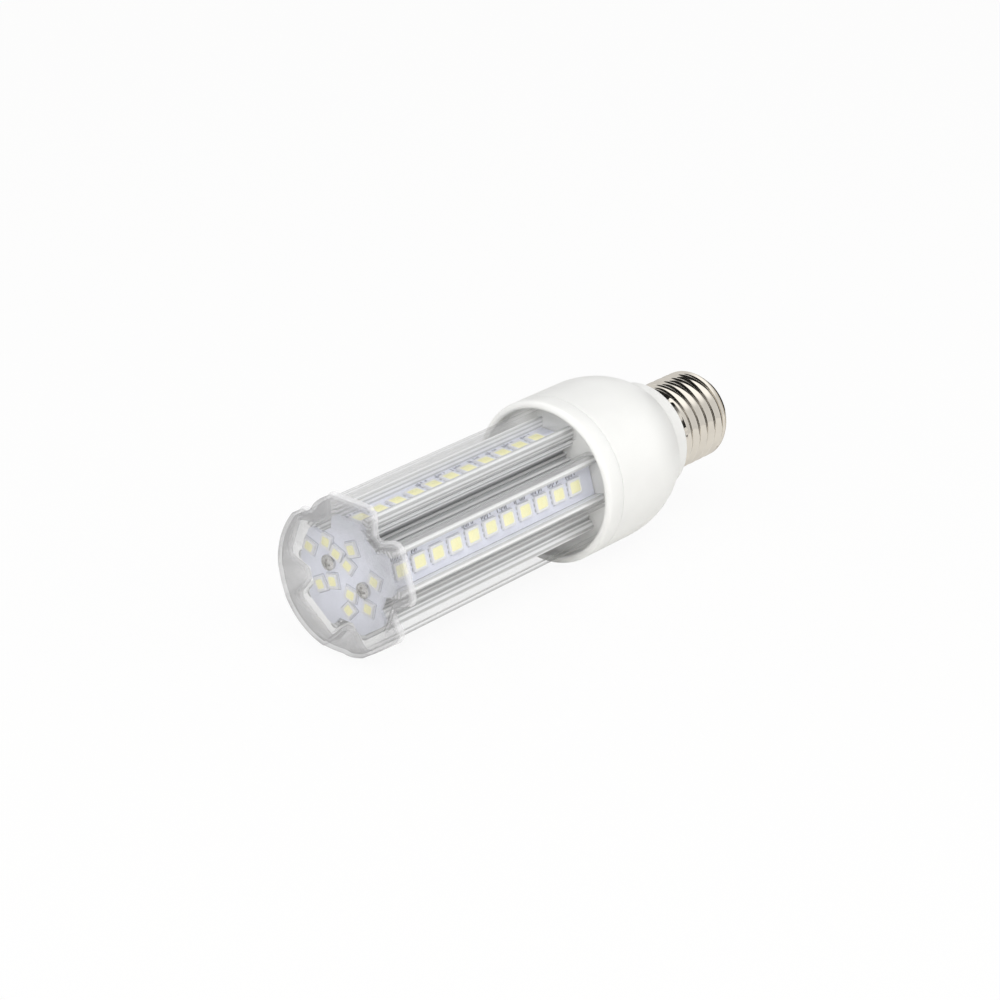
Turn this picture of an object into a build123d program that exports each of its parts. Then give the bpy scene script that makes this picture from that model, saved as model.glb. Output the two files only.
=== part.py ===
from build123d import *
import os
from math import cos, hypot, radians, sin

# LED corn lamp with an E27 screw base, lying on its side as it rests on a table.
# The lamp's axis is X: the screw base points along +X, the clear end cap along -X.
# The origin is on the axis, where the screw shell meets the collar of the housing.
# One lobe of the core points straight up, so the lamp rests on the two lowest lobes and the housing.

# Screw base, all lengths along the axis measured from the origin
shell_radius = 13.1
shell_wall = 0.4
shell_length = 24.5
shell_taper_length = 2.0
shell_taper = 1.2
lip_width = 1.3
insulator_flange_length = 2.4
insulator_cone_length = 3.5
insulator_seat = 0.5
contact_radius = 4.7
contact_rim = 0.8
contact_dome = 0.8
contact_slope = 2.2
stem_radius = 1.6
stem_length = 5.0

# White housing: collar, dome and straight wall
collar_step = 3.0
collar_taper = 0.9
collar_length = 7.2
collar_edge = 0.7
shoulder_step = 1.8
shoulder_edge = 0.6
housing_wall = 2.2
dome_length = 16.5
straight_length = 15.3
neck_wall = 1.75
neck_length = 9.0

# White front ring, with the recessed floor that the core stands on
ring_length = 6.2
ring_wall = 2.2
recess_gap = 0.36
ring_outer_edge = 1.5
ring_inner_edge = 0.7
ring_floor = 2.2
recess_depth = 4.5
seam_chamfer = 0.25
ring_lip_length = 3.0
ring_lip_wall = 1.6
wire_hole_radius = 4.0

# Extruded aluminium core
lobe_count = 5
hub_radius = 8.9
hub_wall = 2.7
neck_half_width = 3.0
neck_rise = 1.3
lobe_slope = 1.8
lobe_half_width = 6.4
lobe_base_inset = 0.2
hook_rise = 1.8
hook_height = 0.8
hook_depth = 0.7
channel_rise = 2.6
lobe_chamfer = 0.7
channel_wall = 1.9
channel_floor_rise = 1.3
rib_count = 3
rib_width = 0.7
rib_height = 0.9
rib_spacing = 11.0
port_distance = 6.4
port_radius = 1.1
port_boss_radius = 2.3
port_angle = 18.0

# LED strips
board_thickness = 1.0
strip_margin = 0.4
strip_leds = 11
led_pitch = 7.1
first_led = 8.2
last_led = 4.1
led_length = 5.0
led_width = 4.9
led_height = 1.2
window_margin = 0.5
window_depth = 0.3

# Clear strip covers
cover_rise = 2.95
cover_wall = 1.0
cover_corner = 1.9
cover_overrun = 0.5

# End board, its screws, and its LEDs as share of the board's radius, angle and turn
end_board_margin = 1.4
end_disc_drop = 0.8
end_led_length = 3.5
end_led_width = 4.0
end_led_places = [
    (1.047, 19, 18),
    (0.797, 47.5, 100),
    (0.485, 58, 20),
    (0.643, 103, 65),
    (0.256, 102, 30),
    (0.414, 327, 75),
    (0.785, 330, 60),
    (0.769, 170, 14),
    (0.386, 249, 10),
    (0.719, 262, 130),
    (0.798, 220, 100),
]
screw_head_radius = 2.2
screw_head_height = 1.4
screw_crown = 0.6
screw_length = 6.0

# Clear end cap
cap_wall = 0.9
cap_depth = 9.3
cap_overlap = 0.9
cap_shoulder = 7.0
cap_shoulder_round = 3.0
cap_flare = 1.4
cap_fill_drop = 0.7
cap_fill_length = 6.2
cap_notch_gap = 2.1

# Driver inside the housing
driver_thickness = 1.6
driver_end_gap = 1.9
guide_width = 1.2
guide_reach = 1.6
guide_length = 9.0
magnet_width = 7.0
magnet_gap = 0.9
magnet_yoke = 1.9
magnet_window = 6.2
magnet_leg_radius = 2.0
winding_radius = 4.8
bulk_cap_radius = 4.0
bulk_cap_length = 12.0
can_edge = 0.5
film_cap_size = (4.5, 7.0, 8.0)
bridge_size = (6.0, 5.0, 2.4)
fuse_radius = 1.5
fuse_length = 7.0
component_gap = 1.0
lead_radius = 0.6
lead_joint = 1.8
lead_bend = 1.0
lead_spacing = 1.8

# Clearances of the fits
slide_fit = 0.1
screw_fit = 0.05
lead_fit = 0.05

# Radii and widths that several pieces share
neck_top = hub_radius + neck_rise
lobe_base = neck_top + lobe_slope
hook_low = lobe_base + hook_rise
hook_high = hook_low + hook_height
lobe_top = hook_high + channel_rise
channel_floor = lobe_base + channel_floor_rise
channel_half_width = lobe_half_width - channel_wall
strip_top = channel_floor + board_thickness
end_board_lobe = lobe_top - end_board_margin
end_board_half_width = lobe_half_width - hook_depth
end_board_disc = hook_low - end_disc_drop
cover_top = lobe_top + cover_rise
cover_half_width = lobe_half_width + slide_fit + cover_wall
cover_reach = hypot(cover_top - cover_corner, cover_half_width - cover_corner) + cover_corner
recess_radius = cover_reach + recess_gap
housing_radius = recess_radius + ring_wall
housing_inner = housing_radius - housing_wall
shell_inner = shell_radius - shell_wall
shell_end_radius = shell_radius - shell_taper
lip_radius = shell_end_radius - lip_width
spigot_radius = shell_inner - slide_fit
spigot_bore = spigot_radius - neck_wall
collar_end_radius = shell_radius + collar_step
collar_radius = collar_end_radius + collar_taper
shoulder_radius = collar_radius + shoulder_step
inner_shoulder = shoulder_radius - housing_wall
driver_top = -lead_radius - lead_fit
lobe_step = 360.0 / lobe_count

# Places along the axis that several pieces share
core_length = first_led + led_pitch * (strip_leds - 1) + last_led
dome_end = -collar_length
dome_start = dome_end - dome_length
seam = dome_start - straight_length
ring_front = seam - ring_length
core_back = ring_front + recess_depth
core_front = core_back - core_length
ring_back = core_back + ring_floor
board_front = core_front - board_thickness
cap_back = core_front + cap_overlap
cap_front = cap_back - cap_depth
neck_start = dome_end - neck_wall
driver_front = ring_back + screw_head_height + slide_fit
driver_back = neck_start - driver_end_gap
magnet_x = (driver_front + driver_back) / 2
component_edge = inner_shoulder - guide_reach - slide_fit
film_cap_x = driver_front + 2 * component_gap
bridge_x = film_cap_x + film_cap_size[0] + component_gap
fuse_x = bridge_x + bridge_size[0] + component_gap


def rounded(profile, place, radius):
    """A flat profile with the corner at one place rounded."""
    return fillet(profile.vertices().sort_by_distance(Vector(*place))[0], radius)


def turned(points, *rounds):
    """A solid of revolution about X from (x, radius) corners, with (corner number, radius) rounds."""
    profile = make_face(Polyline(*points, close=True))
    for corner, radius in rounds:
        profile = rounded(profile, points[corner], radius)
    return revolve(profile, Axis.X)


def rod(x_start, x_end, radius, y=0.0, z=0.0):
    """A round bar along X."""
    section = Plane.YZ.offset(x_start) * Pos(y, z) * Circle(radius)
    return extrude(section, x_end - x_start)


def block(x_low, x_high, y_low, y_high, z_low, z_high):
    """A box given by its two corners."""
    size = Box(x_high - x_low, y_high - y_low, z_high - z_low)
    return Pos((x_low + x_high) / 2, (y_low + y_high) / 2, (z_low + z_high) / 2) * size


def prism(section, x_start, x_end):
    """A flat section, drawn with its lobe pointing up, run along X."""
    return extrude(Plane.YZ.offset(x_start) * section, x_end - x_start)


def turned_over(shape):
    """A driver piece drawn with its parts upwards, turned so that they hang below the board."""
    return Rot(X=180) * shape


def to_lobe(shape, number):
    """A shape made on the upper lobe, carried round to another lobe."""
    return Rot(X=lobe_step * number) * shape


def around_lobes(section):
    """A flat section repeated on every lobe."""
    return [Rot(Z=lobe_step * number) * section for number in range(lobe_count)]


def mirrored(half):
    """A closed outline from one half, given from the axis outwards, and its mirror image."""
    other = [(-y, z) for y, z in reversed(half)]
    return make_face(Polyline(*half, *other, close=True))


def port_places():
    """The two screw ports, one in a lobe's foot and one opposite it."""
    angles = (radians(port_angle), radians(port_angle + 180.0))
    return [(port_distance * cos(a), port_distance * sin(a)) for a in angles]


def make_screw_shell():
    """A tube at the crest of the thread, drawn in at its end to a lip that holds the insulator."""
    end_inner = shell_end_radius - shell_wall
    taper_start = shell_length - shell_taper_length
    return turned([
        (0, shell_inner),
        (0, shell_radius),
        (taper_start, shell_radius),
        (shell_length, shell_end_radius),
        (shell_length, lip_radius),
        (shell_length - shell_wall, lip_radius),
        (shell_length - shell_wall, end_inner),
        (taper_start, shell_inner),
    ])


def make_base_insulator():
    """A cone that stands out of the shell's lip, with a flange that seats behind it."""
    lip_back = shell_length - shell_wall
    insulator_flange = shell_end_radius - shell_wall - slide_fit
    through = lip_radius - slide_fit
    hole = stem_radius + slide_fit
    tip = shell_length + insulator_cone_length
    return turned([
        (lip_back - insulator_flange_length, hole),
        (lip_back - insulator_flange_length, insulator_flange),
        (lip_back, insulator_flange),
        (lip_back, through),
        (shell_length, through),
        (tip, contact_radius + insulator_seat),
        (tip, hole),
    ])


def make_centre_contact():
    """A button with a sloped face and a stem through the insulator."""
    seat = shell_length + insulator_cone_length
    dome_base = seat + contact_rim
    tip = dome_base + contact_dome
    return turned([
        (seat - stem_length, 0),
        (seat - stem_length, stem_radius),
        (seat, stem_radius),
        (seat, contact_radius),
        (dome_base, contact_radius),
        (tip, contact_radius - contact_slope),
        (tip, 0),
    ])


def make_rear_housing():
    """The cup turned from one profile: straight wall, dome, collar, and the neck inside the shell."""
    outside = Polyline(
        (dome_end, shoulder_radius),
        (dome_end, collar_radius + shoulder_edge),
        (dome_end + shoulder_edge, collar_radius),
        (-collar_edge, collar_end_radius),
        (0, collar_end_radius - collar_edge),
        (0, spigot_radius),
        (neck_length, spigot_radius),
        (neck_length, spigot_bore),
        (neck_start, spigot_bore),
        (neck_start, inner_shoulder),
        (dome_start, housing_inner),
        (seam, housing_inner),
        (seam, housing_radius - seam_chamfer),
        (seam + seam_chamfer, housing_radius),
        (dome_start, housing_radius),
    )
    dome = TangentArc((dome_start, housing_radius), (dome_end, shoulder_radius), tangent=(1, 0))
    housing = revolve(make_face([outside, dome]), Axis.X)
    return housing + [turned_over(rib) for rib in driver_guides()]


def driver_guides():
    """Ribs in pairs inside the housing that hold the driver board by its two long edges."""
    middle = driver_top - driver_thickness / 2
    gap = driver_thickness / 2 + slide_fit
    start = seam + ring_lip_length + slide_fit
    inner = inner_shoulder - guide_reach
    root = housing_radius - housing_wall / 2
    ribs = []
    for low in (middle + gap, middle - gap - guide_width):
        ribs.append(block(start, start + guide_length, inner, root, low, low + guide_width))
    return ribs + [mirror(rib, Plane.XZ) for rib in ribs]


def make_front_ring():
    """The ring that closes the cup, with a floor in its recess and a lip that slides into the cup."""
    lip_outer = housing_inner - slide_fit
    lip_end = seam + ring_lip_length
    ring = turned([
        (ring_front + ring_inner_edge, recess_radius),
        (ring_front, recess_radius + ring_inner_edge),
        (ring_front, housing_radius),
        (seam - seam_chamfer, housing_radius),
        (seam, housing_radius - seam_chamfer),
        (seam, lip_outer),
        (lip_end, lip_outer),
        (lip_end, lip_outer - ring_lip_wall),
        (ring_back, lip_outer - ring_lip_wall),
        (ring_back, wire_hole_radius),
        (core_back, wire_hole_radius),
        (core_back, recess_radius),
    ], (2, ring_outer_edge))
    for y, z in port_places():
        ring -= rod(core_back, ring_back, port_radius + slide_fit, y, z)
    return ring


def lobe_half():
    """Half of one lobe's outline, from the hub to the floor of its channel."""
    groove = lobe_half_width - hook_depth
    return [
        (neck_half_width, 0),
        (neck_half_width, neck_top),
        (lobe_half_width - lobe_base_inset, lobe_base),
        (lobe_half_width, hook_low),
        (groove, hook_low),
        (groove, hook_high),
        (lobe_half_width, hook_high),
        (lobe_half_width, lobe_top - lobe_chamfer),
        (lobe_half_width - lobe_chamfer, lobe_top),
        (channel_half_width, lobe_top),
        (channel_half_width, channel_floor),
    ]


def make_heat_sink():
    """One extrusion: five channelled lobes on a hollow hub, ribs in the grooves, two screw ports."""
    section = Circle(hub_radius) + around_lobes(mirrored(lobe_half()))
    middle = (rib_count - 1) / 2
    rib = Pos(0, hub_radius) * Rectangle(rib_width, 2 * rib_height)
    for number in range(rib_count):
        angle = lobe_step / 2 + (number - middle) * rib_spacing
        section += around_lobes(Rot(Z=angle) * rib)
    bosses = [Pos(y, z) * Circle(port_boss_radius) for y, z in port_places()]
    ports = [Pos(y, z) * Circle(port_radius) for y, z in port_places()]
    section = section - Circle(hub_radius - hub_wall) + bosses - ports
    return prism(section, core_front, core_back)


def make_strip_board():
    """The board lies on the channel floor of the upper lobe."""
    half = channel_half_width - slide_fit
    ends = (core_front + strip_margin, core_back - strip_margin)
    return block(*ends, -half, half, channel_floor, strip_top)


def led_places():
    """Where each LED of a strip sits along the axis."""
    return [core_back - first_led - led_pitch * number for number in range(strip_leds)]


def make_phosphor(length, width):
    """The phosphor that fills the pocket of one LED package standing on its board."""
    fill = Box(length - 2 * window_margin, width - 2 * window_margin, window_depth)
    return Pos(0, 0, led_height - window_depth / 2) * fill


def make_package(length, width):
    """One LED package, its window upwards, with the pocket for its phosphor."""
    return Pos(0, 0, led_height / 2) * Box(length, width, led_height) - make_phosphor(length, width)


def make_strip_group(piece):
    """One piece of the LED repeated along the upper lobe's strip."""
    return Compound(children=[Pos(x, 0, strip_top) * piece for x in led_places()])


def cover_outline(extra):
    """The outside of a clear cover on the upper lobe, grown outwards, closed towards the axis."""
    top = cover_top + extra
    corner = cover_corner + extra
    section = Pos(0, top / 2) * Rectangle(2 * (cover_half_width + extra), top)
    return fillet(section.vertices().group_by(Axis.Y)[-1], corner)


def make_strip_cover():
    """A clear channel over the upper lobe whose legs hook into the grooves of the core."""
    foot = hook_low + slide_fit
    hook_top = hook_high - slide_fit
    inside = cover_outline(-cover_wall)
    hook_inner = lobe_half_width - hook_depth + slide_fit
    section = cover_outline(0) - inside - Rectangle(4 * cover_half_width, 2 * foot)
    hook = Pos((hook_inner + cover_half_width) / 2, (foot + hook_top) / 2)
    hook = hook * Rectangle(cover_half_width - hook_inner, hook_top - foot)
    section = section + hook + mirror(hook, Plane.YZ)
    return prism(section, core_front - cover_overrun, core_back)


def make_end_board():
    """The board on the front end of the core, drilled for its screws."""
    arm = Pos(0, end_board_lobe / 2) * Rectangle(2 * end_board_half_width, end_board_lobe)
    arm = fillet(arm.vertices().group_by(Axis.Y)[-1], end_board_half_width / 3)
    section = Circle(end_board_disc) + around_lobes(arm)
    section -= [Pos(y, z) * Circle(port_radius + slide_fit) for y, z in port_places()]
    return prism(section, core_front, board_front)


def make_end_group(piece):
    """One piece of the LED repeated over the end board, facing along -X."""
    placed = []
    for share, angle, turn in end_led_places:
        y = share * end_board_disc * cos(radians(angle))
        z = share * end_board_disc * sin(radians(angle))
        placed.append(Pos(board_front, y, z) * Rot(X=turn) * Rot(Y=-90) * piece)
    return Compound(children=placed)


def make_screws(seat, towards):
    """The two screws of one end, with their heads on the seat and shanks running towards the core."""
    screws = []
    for y, z in port_places():
        screw = rod(seat, seat - towards * screw_head_height, screw_head_radius, y, z)
        crown = screw.edges().group_by(Axis.X)[0 if towards > 0 else -1]
        screw = chamfer(crown, screw_crown)
        screws.append(screw + rod(seat, seat + towards * screw_length, port_radius - screw_fit, y, z))
    return Compound(children=screws)


def cap_skirt(grow):
    """The lobes of the cap, with a round filler between them that falls in an arc towards the back."""
    inset = slide_fit + cap_wall - grow
    notch = end_board_disc + cap_notch_gap + grow
    fill = cover_reach - cap_fill_drop + grow
    foot = cap_back - inset
    front = cap_front - cap_wall
    back = cap_back + cap_wall
    fall_start = foot - cap_fill_length
    rest = Polyline((foot, notch), (back, notch), (back, 0), (front, 0), (front, fill), (fall_start, fill))
    fall = TangentArc((fall_start, fill), (foot, notch), tangent=(1, 0))
    lobes = prism(Circle(notch) + around_lobes(cover_outline(grow)), front, back)
    return lobes + revolve(make_face([rest, fall]), Axis.X)


def cap_front_form(inset, back):
    """The form that bounds the cap's front: a slight dome, a rounded shoulder and a flared side."""
    reach = cover_reach + slide_fit + cap_wall - inset
    tip = cap_front + inset
    shoulder = (cap_back - cap_shoulder + inset, reach - cap_flare)
    crown = TangentArc((tip, 0), shoulder, tangent=(0, 1))
    sides = Polyline(shoulder, (back, reach + cap_flare), (back, 0), (tip, 0))
    return revolve(rounded(make_face([crown, sides]), shoulder, cap_shoulder_round - inset), Axis.X)


def make_end_cap():
    """The clear cap, open at its back: five lobes whose notches fade out to a round front."""
    outside = cap_skirt(slide_fit + cap_wall) & cap_front_form(0, cap_back)
    inside = cap_skirt(slide_fit) & cap_front_form(cap_wall, cap_back + cap_wall)
    return outside - inside


def make_driver_board():
    """The board along the axis, as wide as the housing's narrow end lets it slide in."""
    ends = (driver_front, driver_back)
    return block(*ends, -inner_shoulder, inner_shoulder, driver_top - driver_thickness, driver_top)


def make_transformer_core():
    """A closed frame of ferrite with a round post through its window."""
    leg = winding_radius + magnet_gap
    half = leg + magnet_yoke
    wide = magnet_width / 2
    low = driver_top + magnet_yoke
    top = low + magnet_window + magnet_yoke
    core = block(magnet_x - half, magnet_x + half, -wide, wide, driver_top, top)
    window = block(magnet_x - leg, magnet_x + leg, -wide, wide, low, low + magnet_window)
    post = Pos(magnet_x, 0, low + magnet_window / 2) * Cylinder(magnet_leg_radius, magnet_window)
    return core - window + post


def make_transformer_winding():
    """The coil round the post."""
    height = magnet_window - 2 * slide_fit
    middle = driver_top + magnet_yoke + magnet_window / 2
    coil = Cylinder(winding_radius, height) - Cylinder(magnet_leg_radius + slide_fit, height)
    return Pos(magnet_x, 0, middle) * coil


def make_bulk_capacitor():
    """A round can lying on the board."""
    y = component_edge - bulk_cap_radius
    start = magnet_x - bulk_cap_length / 2
    can = rod(start, start + bulk_cap_length, bulk_cap_radius, y, driver_top + bulk_cap_radius)
    return chamfer(can.edges().filter_by(GeomType.CIRCLE), can_edge)


def make_film_capacitor():
    """A moulded box with rounded upright edges."""
    length, width, height = film_cap_size
    y = -component_edge
    box = block(film_cap_x, film_cap_x + length, y, y + width, driver_top, driver_top + height)
    return chamfer(box.edges().filter_by(Axis.Z), can_edge)


def make_bridge_rectifier():
    """A flat moulded package."""
    length, width, height = bridge_size
    y = -component_edge
    return block(bridge_x, bridge_x + length, y, y + width, driver_top, driver_top + height)


def make_fuse():
    """A small round fuse lying on the board."""
    y = fuse_radius - component_edge
    return rod(fuse_x, fuse_x + fuse_length, fuse_radius, y, driver_top + fuse_radius)


def make_contact_lead():
    """A straight lead on the axis, from the driver to the stem of the centre contact."""
    end = shell_length + insulator_cone_length - stem_length
    return rod(driver_back - lead_joint, end, lead_radius)


def make_led_leads():
    """Two straight leads from the driver through the core to the back of the end board."""
    start = driver_front + lead_joint
    return Compound(children=[rod(start, core_front, lead_radius, y) for y in (-lead_spacing, lead_spacing)])


def make_shell_lead():
    """From the driver through the neck, then round its end to the inside of the screw shell."""
    y = spigot_bore - 2 * lead_radius - lead_fit
    x = neck_length + lead_radius + lead_fit
    wall = shell_inner - slide_fit
    start = (driver_back - lead_joint, y, 0)
    route = FilletPolyline(start, (x, y, 0), (x, wall, 0), radius=lead_bend)
    section = Plane(origin=start, z_dir=(1, 0, 0)) * Circle(lead_radius)
    return sweep(section, path=route)


def build():
    """Every piece of the lamp by its name."""
    parts = {
        "screw_shell": make_screw_shell(),
        "base_insulator": make_base_insulator(),
        "centre_contact": make_centre_contact(),
        "rear_housing": make_rear_housing(),
        "front_ring": make_front_ring(),
        "heat_sink": make_heat_sink(),
        "end_board": make_end_board(),
        "end_leds": make_end_group(make_package(end_led_length, end_led_width)),
        "end_phosphor": make_end_group(make_phosphor(end_led_length, end_led_width)),
        "end_screws": make_screws(board_front, 1),
        "ring_screws": make_screws(ring_back, -1),
        "end_cap": make_end_cap(),
    }
    driver = {
        "driver_board": make_driver_board(),
        "transformer_core": make_transformer_core(),
        "transformer_winding": make_transformer_winding(),
        "bulk_capacitor": make_bulk_capacitor(),
        "film_capacitor": make_film_capacitor(),
        "bridge_rectifier": make_bridge_rectifier(),
        "fuse": make_fuse(),
        "contact_lead": make_contact_lead(),
        "shell_lead": make_shell_lead(),
        "led_leads": make_led_leads(),
    }
    for name, shape in driver.items():
        parts[name] = turned_over(shape)
    upper = {
        "strip_board": make_strip_board(),
        "strip_leds": make_strip_group(make_package(led_length, led_width)),
        "strip_phosphor": make_strip_group(make_phosphor(led_length, led_width)),
        "strip_cover": make_strip_cover(),
    }
    for name, shape in upper.items():
        for number in range(lobe_count):
            parts[f"{name}_{number + 1}"] = to_lobe(shape, number)
    return parts


os.makedirs("parts", exist_ok=True)
for name, shape in build().items():
    export_step(shape, f"parts/{name}.step")
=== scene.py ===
from math import cos, pi, radians, sin, tan

import bmesh
import bpy
import numpy as np
from bpy.props import FloatProperty, FloatVectorProperty, IntProperty, PointerProperty
from mathutils import Matrix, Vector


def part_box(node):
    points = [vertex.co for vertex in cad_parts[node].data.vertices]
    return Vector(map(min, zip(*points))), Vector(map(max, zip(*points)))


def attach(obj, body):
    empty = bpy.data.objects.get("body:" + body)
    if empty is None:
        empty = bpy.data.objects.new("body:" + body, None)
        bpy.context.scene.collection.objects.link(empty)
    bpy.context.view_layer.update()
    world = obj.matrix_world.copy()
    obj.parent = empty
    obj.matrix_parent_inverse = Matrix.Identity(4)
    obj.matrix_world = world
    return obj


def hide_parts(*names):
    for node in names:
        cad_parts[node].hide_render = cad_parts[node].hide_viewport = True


bl_info = {
    "name": "LED corn lamp",
    "version": (1, 0, 0),
    "blender": (4, 5, 0),
    "location": "3D View > Sidebar > Lamp",
    "description": "Dresses the LED corn lamp's solids: thread, mouldings, clear covers, LEDs and finishes",
    "category": "Object",
}

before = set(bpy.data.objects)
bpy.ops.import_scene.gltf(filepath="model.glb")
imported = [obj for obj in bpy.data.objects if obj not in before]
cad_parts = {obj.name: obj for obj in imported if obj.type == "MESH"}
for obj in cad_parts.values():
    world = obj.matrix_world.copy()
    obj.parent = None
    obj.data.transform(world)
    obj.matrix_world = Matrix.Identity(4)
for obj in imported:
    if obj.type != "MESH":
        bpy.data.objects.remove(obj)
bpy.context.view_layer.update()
BODY = "root"
MM = 0.001
LOBES = 5
LOBE_STEP = 2 * pi / LOBES
AROUND = 192
FINE_AROUND = 360
CAP_AROUND = 450
ROUND_STEPS = 8
CORNER_STEPS = 4
SENSOR_WIDTH = 36.0
WHITE = (1, 1, 1, 1)
LED_SLOTS = {"leds": "led_package", "phosphor": "phosphor"}


def low(node, axis):
    """A CAD node's lowest coordinate along one axis."""
    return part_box(node)[0][axis]


def high(node, axis):
    """A CAD node's highest coordinate along one axis."""
    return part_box(node)[1][axis]


def length(name, description, size):
    """A length property, its default given in millimetres."""
    return FloatProperty(name=name, description=description, default=size * MM, unit="LENGTH", precision=5)


def turning(name, description, degrees):
    """An angle property, its default given in degrees."""
    return FloatProperty(name=name, description=description, default=radians(degrees), subtype="ANGLE")


def tally(name, description, number):
    """A property that says how many there are."""
    return IntProperty(name=name, description=description, default=number, min=1)


def colour(name, description, value):
    """A colour property in linear red, green and blue."""
    return FloatVectorProperty(
        name=name, description=description, default=value, subtype="COLOR", size=3, min=0.0, max=1.0
    )


def watts(name, description, value):
    """The power property of a light."""
    return FloatProperty(name=name, description=description, default=value, min=0.0, unit="POWER")


def brightness(name, description, value):
    """The strength property of the room's light, where 1 is white."""
    return FloatProperty(name=name, description=description, default=value, min=0.0)


class LampSizes(bpy.types.PropertyGroup):
    """Sizes of the forms that the scene adds or rounds off."""

    # Screw shell
    thread_pitch: length("Thread pitch", "Advance of the rolled thread for one turn", 3.63)
    thread_depth: length("Thread depth", "Height from the root to the crest of the thread", 0.8)
    thread_turn: turning("Thread turn", "Turn of the thread about the axis", -57.0)
    band_length: length("Band length", "Smooth band of the shell beside the collar", 4.4)
    band_drop: length("Band drop", "How far the smooth band lies below the crest", 0.35)
    shell_taper: length("Shell taper", "How far the shell is drawn in at its end", 1.2)
    shell_taper_length: length("Shell taper length", "Length of the drawn end", 2.0)
    shell_wall: length("Shell wall", "Thickness of the shell's sheet", 0.4)
    lip_radius: length("Lip radius", "Radius of the hole in the shell's end", 10.6)
    crimp_count: tally("Crimps", "Punched dimples round the shell", 8)
    crimp_turn: turning("Crimp turn", "Turn of the dimples about the axis", 28.0)
    crimp_place: length("Crimp place", "Distance of the dimples from the collar", 4.0)
    crimp_depth: length("Crimp depth", "Depth of a punched dimple", 0.55)
    crimp_radius: length("Crimp radius", "Radius of a punched dimple", 0.75)
    # Housing
    collar_radius: length("Collar radius", "Radius of the collar at the dome", 17.0)
    collar_end_radius: length("Collar end radius", "Radius of the collar at the shell", 16.1)
    collar_length: length("Collar length", "Length of the collar", 7.2)
    shoulder_radius: length("Shoulder radius", "Radius at which the dome ends", 18.8)
    dome_length: length("Dome length", "Length of the domed part of the housing", 16.5)
    housing_wall: length("Housing wall", "Wall of the moulded housing", 2.2)
    neck_radius: length("Neck radius", "Radius of the neck inside the shell", 11.5)
    neck_wall: length("Neck wall", "Wall of the neck inside the shell", 1.75)
    pip_count: tally("Pips", "Pips round the collar", 7)
    pip_place: length("Pip place", "Distance of the pips from the shell", 5.6)
    pip_height: length("Pip height", "Height of the moulded pips on the collar", 0.55)
    pip_radius: length("Pip radius", "Radius of a moulded pip", 0.75)
    # Front ring
    ring_wall: length("Ring wall", "Wall of the front ring round its recess", 2.2)
    ring_floor: length("Ring floor", "Thickness of the floor in the recess", 2.2)
    ring_lip_wall: length("Ring lip wall", "Wall of the lip that slides into the cup", 1.6)
    wire_hole: length("Wire hole", "Radius of the wire way in the floor", 4.0)
    seam_round: length("Seam round", "Round of the two edges at the seam", 0.3)
    # Core and covers
    # The aluminium finish paints shade into the grooves out from this radius.
    groove_root: length("Groove root", "Radius of the core between its lobes", 8.9)
    line_pitch: length("Line pitch", "Distance of the fine drawn ribs along the core's sides", 1.2)
    cover_wall: length("Cover wall", "Wall of a clear cover", 1.0)
    cover_corner: length("Cover corner", "Round of a clear cover's two edges", 1.9)
    hook_inset: length("Hook inset", "Reach of a cover's hooks into the core", 1.7)
    hook_height: length("Hook height", "Height of a cover's hooks", 0.6)
    # End cap
    cap_wall: length("Cap wall", "Wall of the clear cap", 0.9)
    cap_shoulder: length("Cap shoulder", "Depth of the cap at the edge of its front", 7.0)
    cap_round: length("Cap round", "Round of the cap's shoulder", 3.0)
    cap_flare: length("Cap flare", "How far the cap's side widens behind its shoulder", 1.4)
    cap_fill_drop: length("Cap fill drop", "How far the front lies inside the lobes between them", 2.3)
    cap_fill_length: length("Cap fill length", "Length over which the notches fade out", 6.2)
    cap_bead: length("Cap bead", "Height of the bead along the skirt's back edge", 0.45)
    cap_bead_width: length("Cap bead width", "Width of that bead", 0.9)
    cap_notch: length("Cap notch", "Radius of the notches at the cap's back", 16.1)
    # LED strips
    led_count: tally("LEDs", "LEDs on each strip", 11)
    first_led: length("First LED", "Distance of the first LED from the core's end", 8.2)
    led_pitch: length("LED pitch", "Distance from LED to LED along a strip", 7.1)
    led_length: length("LED length", "Size of an LED package along the strip", 5.0)
    led_width: length("LED width", "Size of an LED package across the strip", 4.6)
    led_height: length("LED height", "Height of an LED package", 0.85)
    led_rim: length("LED rim", "Rim of an LED package at the ends of its phosphor", 0.5)
    led_side_rim: length("LED side rim", "Rim of an LED package beside its phosphor", 0.7)
    pad_reach: length("Pad reach", "How far a tinned pad shows beside its LED", 0.3)
    pad_width: length("Pad width", "Width of a tinned pad", 0.9)
    print_place: length("Print place", "Distance of the printed strokes from a strip's middle", 3.4)
    print_height: length("Print height", "Height of the printed strokes", 1.5)
    print_step: length("Print step", "Distance from stroke to stroke", 0.6)
    ink_height: length("Ink height", "Thickness of print and pads on a board", 0.02)
    # End board
    end_disc: length("End disc", "Radius of the end board's round part", 13.0)
    end_led_length: length("End LED length", "Length of an LED package on the end board", 3.5)
    end_led_width: length("End LED width", "Width of an LED package on the end board", 4.0)
    port_distance: length("Port distance", "Distance of the end screws from the axis", 6.4)
    port_angle: turning("Port angle", "Turn of the end screws about the axis", 18.0)
    head_radius: length("Head radius", "Radius of a screw's head", 2.2)
    shank_radius: length("Shank radius", "Radius of a screw's shank", 1.05)


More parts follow.
